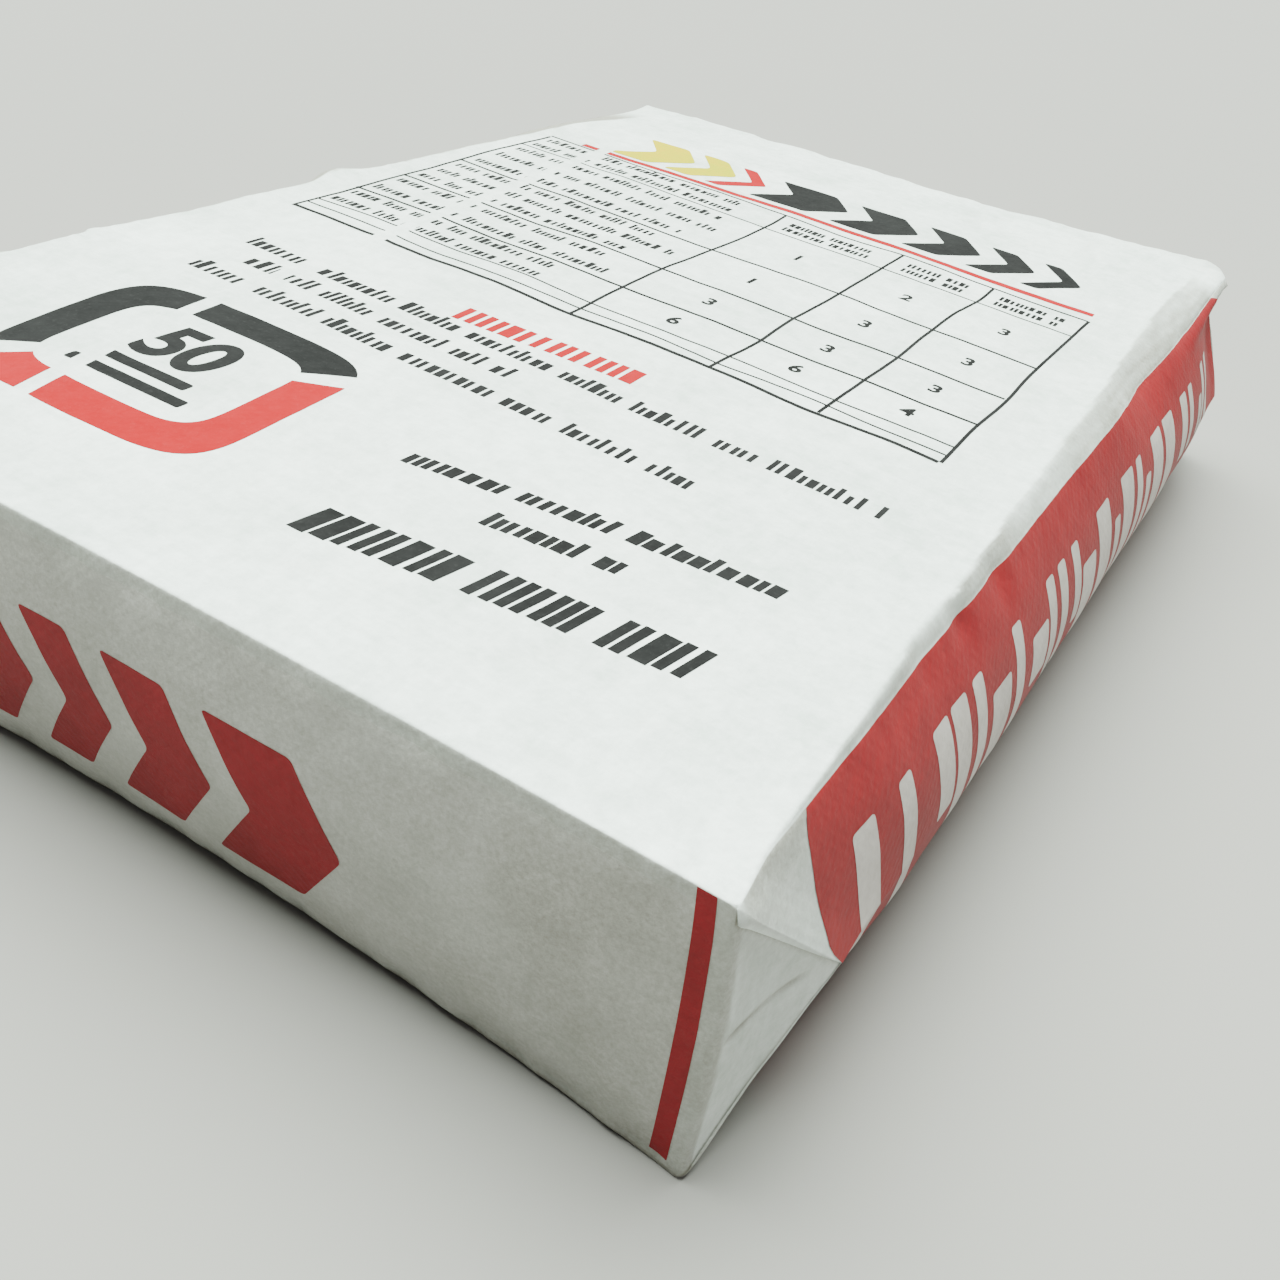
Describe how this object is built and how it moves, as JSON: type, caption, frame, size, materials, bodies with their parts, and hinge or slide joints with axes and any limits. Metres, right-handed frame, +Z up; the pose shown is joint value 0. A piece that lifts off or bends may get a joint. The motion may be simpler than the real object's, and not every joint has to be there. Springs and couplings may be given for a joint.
{
  "type": "cement sack",
  "caption": "Filled cement sack lying flat: a block-bottom valve sack of laminated woven polypropylene with square folded ends, welded cover patches and swollen sides.",
  "frame": {"origin": "middle of the underside, on the floor that the sack lies on", "axes": "+X across the sack towards its right side, +Y along it from the folded bottom to the valve end, +Z up out of the printed face"},
  "size_m": [0.4318, 0.6304, 0.111],
  "materials": {
    "woven_sack": "laminated woven polypropylene, printed",
    "cover_patch": "laminated woven polypropylene, welded",
    "valve_film": "woven polypropylene film",
    "cement": "powder"
  },
  "bodies": {
    "root": {"sack_body": "woven_sack", "bottom_cover_patch": "cover_patch", "valve_end_cover_patch": "cover_patch", "valve_sleeve": "valve_film", "cement_fill": "cement"}
  },
  "joints": []
}
